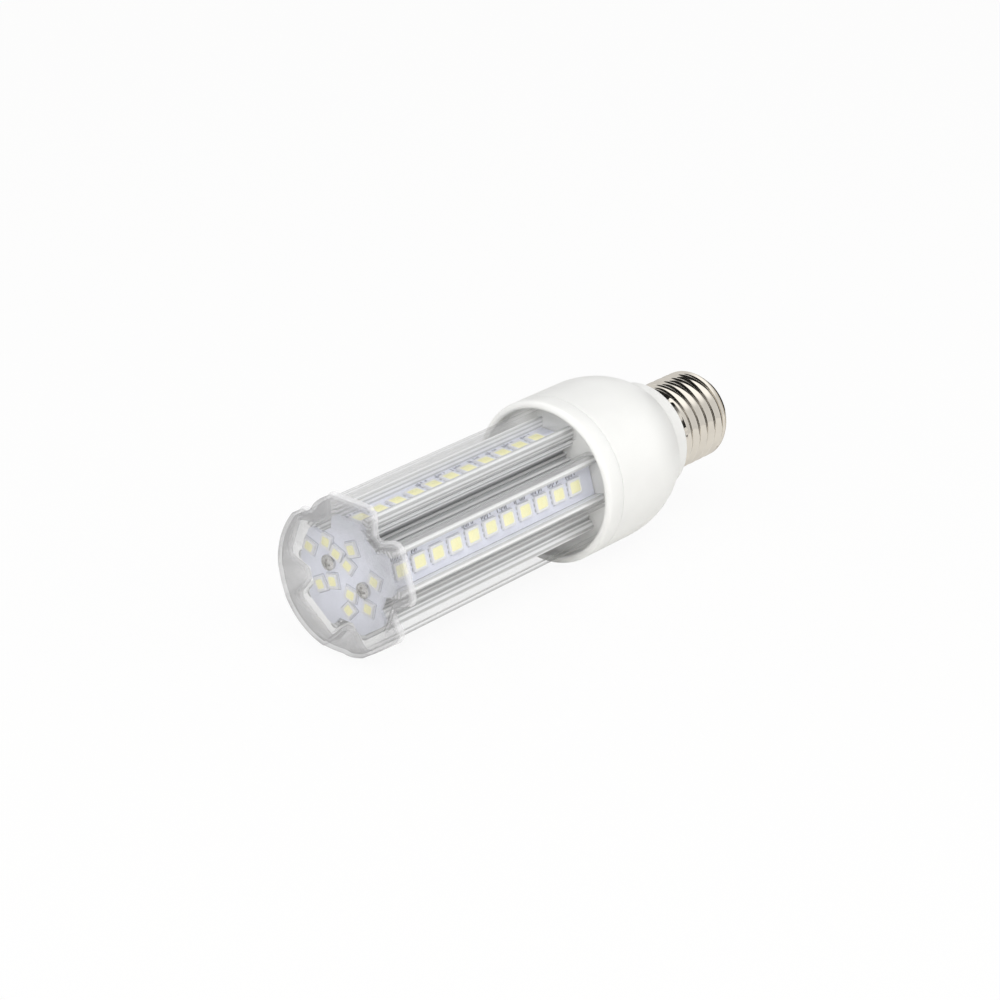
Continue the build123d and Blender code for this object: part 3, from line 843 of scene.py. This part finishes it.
class LAMP_OT_end_cap(bpy.types.Operator):
    """Clear cap with a slightly domed front and a scalloped skirt"""

    bl_idname = "lamp.end_cap"
    bl_label = "End cap"

    SKIRT_ROWS = 28
    BEND_ROWS = 14
    CROWN_ROWS = 60

    def execute(self, context):
        sizes = context.scene.lamp_sizes
        wall = sizes.cap_wall
        fit = 0.1 * MM
        back = high("end_cap", 0)
        shoulder = back - sizes.cap_shoulder
        # Where the cap's side starts to get its painted shade.
        side = (shoulder - 2 * MM, shoulder + 1 * MM)
        # Where the skirt's back edge gets its painted highlight.
        bead = (back - 2 * MM, back - 1 * MM)
        finish = clear_plastic("clear_cap", context.scene.lamp_colours, 0.045, 0.40, 2.5, 0.24, side, bead)
        outer = self.surface(sizes, wall + fit, 0.0)
        inner = self.surface(sizes, fit, wall)[::-1]
        points = np.concatenate([outer, inner])
        rows, columns = points.shape[:2]
        faces = quads(rows, columns)
        kept = faces[:, 0] // columns != len(outer) - 1
        piece("clear_end_cap", points, faces[kept], "clear_cap", finish, ["end_cap"], sharp=60)
        return {"FINISHED"}

    def outline(self, sizes, grow, angle):
        """Radius of the five lobes at an angle: flat top, round corner or straight flank.

        A ray at angle f from a lobe's middle meets the top at t / cos f and the flank at w / sin f. Between
        them it meets the corner's circle about (a, b), of radius c, at
        a cos f + b sin f + sqrt(c c - (a sin f - b cos f) squared)."""
        wide = high("strip_cover_1", 1) + grow
        top = high("strip_cover_1", 2) + grow
        corner = sizes.cover_corner + grow
        centre_up = top - corner
        centre_aside = wide - corner
        away = np.abs(np.mod(angle - pi / 2 + LOBE_STEP / 2, LOBE_STEP) - LOBE_STEP / 2)
        top_ends = np.arctan(centre_aside / top)
        flank_starts = np.arctan2(wide, centre_up)
        off = centre_up * np.sin(away) - centre_aside * np.cos(away)
        bend = centre_up * np.cos(away) + centre_aside * np.sin(away)
        bend = bend + np.sqrt(np.maximum(corner * corner - off * off, 0))
        flank = wide / np.maximum(np.sin(away), 0.05)
        return np.where(away < top_ends, top / np.cos(away), np.where(away < flank_starts, bend, flank))

    def surface(self, sizes, grow, inset):
        """The skirt's rows, then the shoulder and the crown shrinking to the middle of the front.

        At each row the radius is a soft maximum of the lobes and the filler between them, held inside the
        row's own radius. A soft maximum of a and b is half of a + b + sqrt((a - b) squared + soft squared),
        lowered by a quarter of soft."""
        back = high("end_cap", 0)
        front = low("end_cap", 0) + inset
        shoulder = back - sizes.cap_shoulder + inset
        reach = high("end_cap", 1) - inset
        rim = reach - sizes.cap_flare
        run = shoulder - front
        radius = (rim * rim + run * run) / (2 * run)
        crown_y = np.linspace(1, 0, self.CROWN_ROWS) * rim
        crown_x = front + radius - np.sqrt(radius * radius - crown_y ** 2)
        skirt_x = np.linspace(back, shoulder, self.SKIRT_ROWS)
        skirt_y = np.linspace(reach + sizes.cap_flare, rim, self.SKIRT_ROWS)
        skirt = np.stack([skirt_x, skirt_y], axis=1)
        profile = self.softened(skirt, np.stack([crown_x, crown_y], axis=1), sizes.cap_round - inset)
        x, limit = profile[:, :1], profile[:, 1:]
        angle = np.linspace(0, 2 * pi, CAP_AROUND, endpoint=False)
        bead_height = 0 if inset else sizes.cap_bead
        bead = bead_height * (1 - smooth(back - x, 0, sizes.cap_bead_width))
        lobes = self.outline(sizes, grow + bead, angle[None])
        deep = sizes.cap_notch - inset
        filled = smooth(back - x, 0, sizes.cap_fill_length)
        fill = deep + bead + (reach - sizes.cap_fill_drop - deep) * filled
        soft = 0.8 * MM
        shape = 0.5 * (lobes + fill + np.sqrt((lobes - fill) ** 2 + soft * soft)) - 0.25 * soft
        shape = np.minimum(np.minimum(shape, reach + bead), limit + bead)
        return np.stack(np.broadcast_arrays(x, shape * np.cos(angle), shape * np.sin(angle)), axis=-1)

    def softened(self, skirt, crown, radius):
        """The skirt and the crown joined by a bend: rows within a distance of the corner give way to it.

        The bend is the curve (1 - s) squared start + 2 s (1 - s) corner + s squared end."""
        path = np.concatenate([skirt, crown[1:]])
        steps = np.hypot(*np.diff(path, axis=0).T)
        place = np.concatenate([[0], np.cumsum(steps)])
        corner = place[len(skirt) - 1]
        first, last = corner - radius, corner + radius
        start = np.array([np.interp(first, place, column) for column in path.T])
        end = np.array([np.interp(last, place, column) for column in path.T])
        share = np.linspace(0, 1, self.BEND_ROWS)[:, None]
        bend = (1 - share) ** 2 * start + 2 * share * (1 - share) * skirt[-1] + share ** 2 * end
        return np.concatenate([path[place < first], bend, path[place > last]])


class LAMP_OT_strips(bpy.types.Operator):
    """LED strips: boards, packages, phosphor, solder pads and print on the five lobes"""

    bl_idname = "lamp.strips"
    bl_label = "LED strips"

    def execute(self, context):
        sizes = context.scene.lamp_sizes
        colours = context.scene.lamp_colours
        dress(board_mask(colours), *[f"strip_board_{number + 1}" for number in range(LOBES)])
        finishes = {"leds": moulded_package(colours), "phosphor": phosphor_gel(colours)}
        base = high("strip_board_1", 2)
        x = high("heat_sink", 0) - sizes.first_led - sizes.led_pitch * np.arange(sizes.led_count)
        places = np.stack([x, np.zeros_like(x), np.full_like(x, base)], axis=1)
        for kind, (points, faces) in led_forms(sizes, sizes.led_length, sizes.led_width).items():
            row = joined(points + places[:, None], faces)
            on_lobes(f"strip_{kind}_row", *row, LED_SLOTS[kind], finishes[kind], f"strip_{kind}")
        self.marks(sizes, colours, x, base)
        return {"FINISHED"}

    def marks(self, sizes, colours, leds, base):
        """Tinned pads at both ends of each LED, thin frames along its sides, and plain printed strokes.

        The strokes stand for the board's marking: a row at the cap's end, and a short one beside each of the
        first LEDs."""
        thick = sizes.ink_height
        height = base + thick / 2
        pad_step = 1.45 * MM
        side, pad_y = np.meshgrid([-0.5, 0.5], [-pad_step, 0, pad_step], indexing="ij")
        pad_x = leds[:, None, None] + side * (sizes.led_length + sizes.pad_reach)
        pads = np.stack(np.broadcast_arrays(pad_x, pad_y, height), axis=-1).reshape(-1, 3)
        pad_size = (sizes.pad_reach + 0.2 * MM, sizes.pad_width, thick)
        beside = sizes.led_width / 2 + 0.2 * MM
        frame_x, frame_y = np.meshgrid(leds, [-beside, beside], indexing="ij")
        frames = np.stack(np.broadcast_arrays(frame_x, frame_y, height), axis=-1).reshape(-1, 3)
        frame_size = (sizes.led_length, 0.12 * MM, thick)
        rows = [(low("strip_board_1", 0) + 1.4 * MM, 17)]
        rows += [(place - 2.9 * MM, 8) for place in leds[:7]]
        inked = [strokes(sizes, start, count, height) for start, count in rows]
        ink, ink_sizes = np.concatenate(inked, axis=1)
        forms = {
            "pads": (flat_boxes(pads, pad_size), tinned_solder(colours)),
            "frames": (flat_boxes(frames, frame_size), plain_finish("faint_ink", colours.faint_ink, 0.5)),
            "print": (flat_boxes(ink, ink_sizes), plain_finish("ink", colours.print_ink, 0.5)),
        }
        for kind, (form, finish) in forms.items():
            on_lobes(f"strip_{kind}", *form, "white_board", finish)


def strokes(sizes, start, count, height):
    """A row of short printed strokes: uneven heights and a few gaps, none of them a letter.

    Stroke n stands n steps from the start, and is left out where a sine of n is over 0.8. Its height and
    its shift across the row follow two other sines of n."""
    number = np.arange(count)
    kept = number[np.sin(5.3 * number + 40 * start / MM) < 0.8]
    tall = sizes.print_height * (0.55 + 0.45 * np.abs(np.sin(2.1 * kept + start / MM)))
    x = start + sizes.print_step * kept
    y = sizes.print_place + 0.15 * sizes.print_height * np.sin(3.7 * kept)
    centres = np.stack(np.broadcast_arrays(x, y, height), axis=1)
    return centres, np.stack(np.broadcast_arrays(0.48 * sizes.print_step, tall, sizes.ink_height), axis=1)


def rectangle_ring(half_length, half_width, corner, height):
    """One ring of a rounded rectangle at a height: four corner arcs joined by straight sides."""
    turn = np.linspace(0, pi / 2, CORNER_STEPS)
    arcs = []
    for number, (side_x, side_y) in enumerate([(1, 1), (-1, 1), (-1, -1), (1, -1)]):
        angle = turn + number * pi / 2
        x = side_x * (half_length - corner) + corner * np.cos(angle)
        y = side_y * (half_width - corner) + corner * np.sin(angle)
        arcs.append(np.stack([x, y, np.full_like(x, height)], axis=1))
    return np.concatenate(arcs)


def lofted(rings):
    """Rings of equal count joined in order, with the first and last drawn to their middles."""
    first = np.repeat(rings[0].mean(axis=0)[None], len(rings[0]), axis=0)
    last = np.repeat(rings[-1].mean(axis=0)[None], len(rings[-1]), axis=0)
    stack = np.stack([first, *rings, last])
    return stack.reshape(-1, 3), quads(*stack.shape[:2], closed=False)


def led_forms(sizes, long, wide):
    """One LED package with its sloped pocket, and the phosphor in it, standing on z = 0.

    Each is a stack of rounded rectangles by inset, corner and height, joined from the first to the last."""
    top = sizes.led_height
    rim = sizes.led_rim
    side_extra = sizes.led_side_rim - rim
    edge = 0.12 * MM
    slope = 0.18 * MM
    lip = 0.04 * MM

    def ring(inset, corner, height):
        """One ring, set in further beside the pocket than at its ends."""
        side = inset + side_extra if inset > edge else inset
        return rectangle_ring(long / 2 - inset, wide / 2 - side, corner, height)

    package = [
        ring(0, 0.25 * MM, 0),
        ring(0, 0.25 * MM, top - edge),
        ring(edge / 3, 0.3 * MM, top - edge / 3),
        ring(edge, 0.3 * MM, top),
        ring(rim - lip, 0.5 * MM, top),
        ring(rim, 0.5 * MM, top - lip),
        ring(rim + slope, 0.45 * MM, top - 0.3 * MM),
    ]
    fill = [
        ring(rim + slope * 0.9, 0.45 * MM, top - 0.28 * MM),
        ring(rim + slope * 0.25, 0.5 * MM, top - 0.1 * MM),
        ring(rim + 0.35 * MM, 0.5 * MM, top - 0.05 * MM),
        ring(rim + 0.8 * MM, 0.4 * MM, top - 0.03 * MM),
    ]
    return {"leds": lofted(package), "phosphor": lofted(fill)}


class LAMP_OT_end_board(bpy.types.Operator):
    """Board on the front end of the core with its turned LEDs and two screws"""

    bl_idname = "lamp.end_board"
    bl_label = "End board"

    # Each LED's distance from the axis as a share of the disc's radius, its angle and its turn in degrees
    PLACES = [
        (1.047, 19, 18),
        (0.797, 47.5, 100),
        (0.485, 58, 20),
        (0.643, 103, 65),
        (0.256, 102, 30),
        (0.414, 327, 75),
        (0.785, 330, 60),
        (0.769, 170, 14),
        (0.386, 249, 10),
        (0.719, 262, 130),
        (0.798, 220, 100),
    ]

    def execute(self, context):
        sizes = context.scene.lamp_sizes
        dress(bpy.data.materials["board_mask"], "end_board")
        seat = low("end_board", 0)
        finishes = {"leds": "moulded_package", "phosphor": "phosphor_gel"}
        for kind, (points, faces) in led_forms(sizes, sizes.end_led_length, sizes.end_led_width).items():
            facing = np.stack([-points[:, 2], points[:, 1], points[:, 0]], axis=1)
            group = self.placed(facing, faces, seat, sizes.end_disc)
            finish = bpy.data.materials[finishes[kind]]
            piece(f"end_{kind}_group", *group, LED_SLOTS[kind], finish, [f"end_{kind}"])
        self.frames(sizes, seat)
        steel = plain_finish("bright_steel", context.scene.lamp_colours.steel, 0.12, 1.0, 0.6 * MM)
        dress(steel, "ring_screws")
        self.screws(sizes, seat, steel)
        return {"FINISHED"}

    def across(self, distance, angle):
        """A step away from the axis in the board's plane."""
        return np.array([0, distance * cos(angle), distance * sin(angle)])

    def placed(self, points, faces, seat, disc):
        """A form repeated on the board at each LED's place, turned in the board's plane as that LED is."""
        forms = []
        for share, angle, turn in self.PLACES:
            shift = self.across(share * disc, radians(angle)) + (seat, 0, 0)
            forms.append(turned_to(points, radians(turn)) + shift)
        return joined(forms, faces)

    def frames(self, sizes, seat):
        """A printed frame round each LED: four thin bars, turned with it."""
        thick = sizes.ink_height
        gap = 0.3 * MM
        line = 0.16 * MM
        long = sizes.end_led_length / 2 + gap
        wide = sizes.end_led_width / 2 + gap
        centres = np.array([(0, 0, long), (0, 0, -long), (0, wide, 0), (0, -wide, 0)])
        crosswise = (thick, 2 * wide, line)
        lengthwise = (thick, line, 2 * long)
        bars = flat_boxes(centres, [crosswise, crosswise, lengthwise, lengthwise])
        points, faces = self.placed(*bars, seat - thick / 2, sizes.end_disc)
        piece("end_board_print", points, faces, "white_board", bpy.data.materials["faint_ink"])

    def screws(self, sizes, seat, steel):
        """Two screws on opposite sides of the axis."""
        screw = self.screw(sizes, seat)
        rows, columns = screw.shape[:2]
        shifts = [self.across(sizes.port_distance, sizes.port_angle + side) for side in (0, pi)]
        pair = [screw.reshape(-1, 3) + shift for shift in shifts]
        points, faces = joined(pair, quads(rows, columns, closed=False))
        piece("end_screw_heads", points, faces, "bright_screw", steel, ["end_screws"], sharp=30)

    def screw(self, sizes, seat):
        """A screw about X: shank, flat seat, rounded head, and a cross pressed into it.

        The head's dome falls away with the third power of the radius. The cross is the larger of two bars
        at right angles."""
        top = low("end_screws", 0)
        end = high("end_screws", 0)
        head = sizes.head_radius
        shank = sizes.shank_radius
        radius = np.linspace(head, 0, 34)
        dome = np.stack([top + 0.55 * MM * (radius / head) ** 3, radius], axis=1)
        stem = [(end, 0), (end, shank), (seat, shank), (seat, head), (top + 0.62 * MM, head)]
        points = around(np.concatenate([stem, dome]), 96)
        aside, up = np.abs(np.moveaxis(points[..., 1:], -1, 0))
        cross = np.maximum(self.bar(aside, up), self.bar(up, aside))
        cross[:len(stem)] = 0
        points[..., 0] += 0.7 * MM * cross
        return points

    def bar(self, across, along):
        """One bar of the cross: 1 inside it and 0 outside, a product of two soft steps."""
        half = 0.34 * MM
        arm = 1.35 * MM
        return (1 - smooth(across, half * 0.7, half * 1.3)) * (1 - smooth(along, arm * 0.75, arm))


class LAMP_OT_driver(bpy.types.Operator):
    """Driver circuit and leads inside the housing"""

    bl_idname = "lamp.driver"
    bl_label = "Driver"

    def execute(self, context):
        colours = context.scene.lamp_colours
        dress(plain_finish("green_laminate", colours.laminate, 0.35), "driver_board")
        dress(plain_finish("sintered_ferrite", colours.ferrite, 0.55, size=0.4 * MM), "transformer_core")
        dress(wound_copper(colours), "transformer_winding")
        dress(plain_finish("shrink_sleeve", colours.sleeve, 0.3), "bulk_capacitor")
        dress(plain_finish("film_case", colours.film, 0.3), "film_capacitor")
        dress(plain_finish("rectifier_case", colours.ferrite, 0.5), "bridge_rectifier")
        dress(plain_finish("fuse_coat", colours.fuse, 0.25), "fuse")
        dress(plain_finish("wire_insulation", colours.lead, 0.45), "contact_lead", "shell_lead", "led_leads")
        return {"FINISHED"}


class LAMP_OT_stage(bpy.types.Operator):
    """Floor, room, cards, soft light and camera"""

    bl_idname = "lamp.stage"
    bl_label = "Stage"

    # Patches of the room: direction, half angles in degrees where each is full and where it ends, and gain
    PATCHES = [
        ((0.70, -0.20, 0.68), 8, 20, 0.25),
        ((0.70, 0.71, 0.05), 10, 18, 0.60),
        ((0.70, 0.58, 0.42), 5, 20, 1.3),
        ((0.68, -0.70, 0.18), 8, 30, 1.2),
        ((-0.25, -0.10, 0.96), 20, 45, 1.7),
    ]
    # Black cards: centre and half size, in millimetres
    CARDS = {
        "upper_card": ((118, 45, 150), (131, 116, 0)),
        "end_card": ((85, -28, 14), (0, 68, 40)),
    }
    # Lights: place from the lamp's middle and width, in metres
    LIGHTS = {
        "key": ((-0.15, -0.35, 0.75), 0.6),
        "fill": ((-0.75, -0.25, 0.30), 0.5),
        "side": ((0.45, -0.65, 0.20), 0.5),
    }

    def execute(self, context):
        scene = context.scene
        scene.view_settings.view_transform = "Standard"
        scene.cycles.transparent_max_bounces = 32
        self.floor(scene)
        self.room(scene)
        for name, (centre, half) in self.CARDS.items():
            self.card(scene, name, np.array(centre) * MM, np.array(half) * MM)
        for name, (offset, width) in self.LIGHTS.items():
            power = getattr(scene.lamp_stage, f"{name}_power")
            self.light(scene, name, np.array(offset), width, power)
        self.camera(scene)
        return {"FINISHED"}

    def prop(self, scene, name, points, faces, finish):
        """A mesh of the stage, which is no piece of the lamp."""
        mesh = bpy.data.meshes.new(name)
        mesh.from_pydata(points.reshape(-1, 3).tolist(), [], faces)
        mesh.materials.append(finish)
        made = bpy.data.objects.new(name, mesh)
        scene.collection.objects.link(made)
        return made

    def floor(self, scene):
        """A wide plane that touches the ring's underside and the cap's two lowest lobes.

        To the camera it is nearly the white of the background, and only its shadows show."""
        ring = low("front_ring", 2)
        ring_x = low("front_ring", 0) + 2 * MM
        cap = low("end_cap", 2)
        cap_x = low("end_cap", 0) + 5 * MM
        slope = (ring - cap) / (ring_x - cap_x)
        ends = (-4.0, 4.0)
        x, y = np.meshgrid(ends, ends, indexing="ij")
        points = np.stack([x, y, ring + slope * (x - ring_x)], axis=-1)
        finish = Finish("pale_floor")
        seen = finish.add("ShaderNodeLightPath", output="Is Camera Ray")
        mirrored = finish.add("ShaderNodeLightPath", output="Is Glossy Ray")
        glow = finish.add("ShaderNodeEmission", None, {"Color": WHITE, "Strength": 1.0})
        paint = finish.body((0.82, 0.81, 0.79), roughness=0.7)
        shader = finish.mix(seen * 0.93 + mirrored * 0.4, paint, glow)
        self.prop(scene, "floor", points, [[0, 2, 3, 1]], finish.done(shader))

    def room(self, scene):
        """A white room with soft dark openings and bright panels for the metal to mirror.

        Each patch is a soft step of the cosine between the ray and the patch's direction. The background
        that the camera sees is plain white."""
        finish = Finish("room", "worlds")
        even = scene.lamp_stage.world_strength
        mirrored = finish.add("ShaderNodeLightPath", output="Is Glossy Ray")
        level = even + (scene.lamp_stage.mirror_strength - even) * mirrored
        for towards, inner, outer, gain in self.PATCHES:
            level = level * (1 + (gain - 1) * self.patch(finish, towards, inner, outer))
        seen = finish.add("ShaderNodeLightPath", output="Is Camera Ray")
        strength = level + (1 - level) * seen
        background = finish.add("ShaderNodeBackground", None, {"Color": WHITE, "Strength": strength})
        scene.world = finish.done(background, "ShaderNodeOutputWorld")

    def patch(self, finish, towards, inner, outer):
        """How far a ray lies inside a round patch of the room, from 0 outside to 1 in its middle."""
        ray = finish.add("ShaderNodeTexCoord", output="Generated")
        unit = np.array(towards) / np.linalg.norm(towards)
        sockets = {0: ray, 1: tuple(unit)}
        near = finish.add("ShaderNodeVectorMath", {"operation": "DOT_PRODUCT"}, sockets, "Value")
        return finish.ease(near, cos(radians(outer)), cos(radians(inner)))

    def card(self, scene, name, centre, half):
        """A soft oval black card near the base, which shows only in mirrored light and never to the camera.

        It is black in its middle, and clear where the squares of the distances from its centre, each over
        its half size, add up to 1."""
        finish = Finish(name)
        spread = 0.0
        for axis, middle, reach in zip(finish.axes(), centre, half):
            if reach:
                away = (axis - middle) / reach
                spread = away * away + spread
        black = finish.body((0.004, 0.004, 0.004), roughness=0.9)
        clear = finish.add("ShaderNodeBsdfTransparent", None, {"Color": WHITE})
        shader = finish.mix(finish.ease(spread, 0.8, 1.0), black, clear)
        points, faces = flat_boxes(centre[None], 2 * np.maximum(half, 0.5 * MM))
        made = self.prop(scene, name, points, faces.tolist(), finish.done(shader))
        made.visible_camera = False
        made.visible_diffuse = False
        made.visible_transmission = False
        made.visible_shadow = False

    def light(self, scene, name, offset, width, power):
        """A square area light that looks at the lamp's middle and shows in no mirror."""
        source = bpy.data.lights.new(name, "AREA")
        source.size = width
        source.energy = power
        made = bpy.data.objects.new(name, source)
        made.visible_glossy = False
        scene.collection.objects.link(made)
        back = offset / np.linalg.norm(offset)
        right = np.cross([0, 0, 1], back)
        right = right / np.linalg.norm(right)
        lamp_middle = np.array([-0.05, 0.0, 0.0])
        self.stand(made, lamp_middle + offset, right, np.cross(back, right), back)

    def stand(self, made, place, right, up, back):
        """Sets an object's place and its three directions."""
        matrix = np.eye(4)
        matrix[:3] = np.stack([right, up, back, place], axis=1)
        made.matrix_world = Matrix(matrix.tolist())

    def camera(self, scene):
        """The photograph's view: turned about the upright, tilted down and rolled a little."""
        settings = scene.lamp_stage
        turn = settings.azimuth
        tilt = settings.elevation
        roll = settings.roll
        back = np.array([sin(turn) * cos(tilt), -cos(turn) * cos(tilt), sin(tilt)])
        right = np.array([cos(turn), sin(turn), 0.0])
        up = np.cross(back, right)
        rolled_right = cos(roll) * right + sin(roll) * up
        rolled_up = cos(roll) * up - sin(roll) * right
        view = bpy.data.cameras.new("camera")
        view.lens = settings.lens
        view.sensor_width = SENSOR_WIDTH
        view.clip_start = 10 * MM
        made = bpy.data.objects.new("camera", view)
        scene.collection.objects.link(made)
        self.stand(made, np.array(settings.camera_place), rolled_right, rolled_up, back)
        scene.camera = made


class LAMP_PT_pieces(bpy.types.Panel):
    """Buttons for the lamp's pieces and its stage"""

    bl_label = "LED corn lamp"
    bl_idname = "LAMP_PT_pieces"
    bl_space_type = "VIEW_3D"
    bl_region_type = "UI"
    bl_category = "Lamp"

    def draw(self, context):
        for operator in OPERATORS:
            self.layout.operator(operator.bl_idname)


GROUPS = {"lamp_sizes": LampSizes, "lamp_colours": LampColours, "lamp_stage": StageSettings}
OPERATORS = (
    LAMP_OT_screw_shell,
    LAMP_OT_base_tip,
    LAMP_OT_housing,
    LAMP_OT_front_ring,
    LAMP_OT_core,
    LAMP_OT_covers,
    LAMP_OT_end_cap,
    LAMP_OT_strips,
    LAMP_OT_end_board,
    LAMP_OT_driver,
    LAMP_OT_stage,
)


def register():
    """Registers the classes and hangs the property groups on the scene."""
    for group in (*GROUPS.values(), *OPERATORS, LAMP_PT_pieces):
        bpy.utils.register_class(group)
    for name, group in GROUPS.items():
        setattr(bpy.types.Scene, name, PointerProperty(type=group))


def unregister():
    """Takes off what register put on."""
    for name in GROUPS:
        delattr(bpy.types.Scene, name)
    for group in (LAMP_PT_pieces, *reversed(OPERATORS), *GROUPS.values()):
        bpy.utils.unregister_class(group)


def main():
    """Makes every piece and the stage."""
    register()
    for operator in OPERATORS:
        getattr(bpy.ops.lamp, operator.bl_idname.split(".")[1])()


if __name__ == "__main__":
    main()
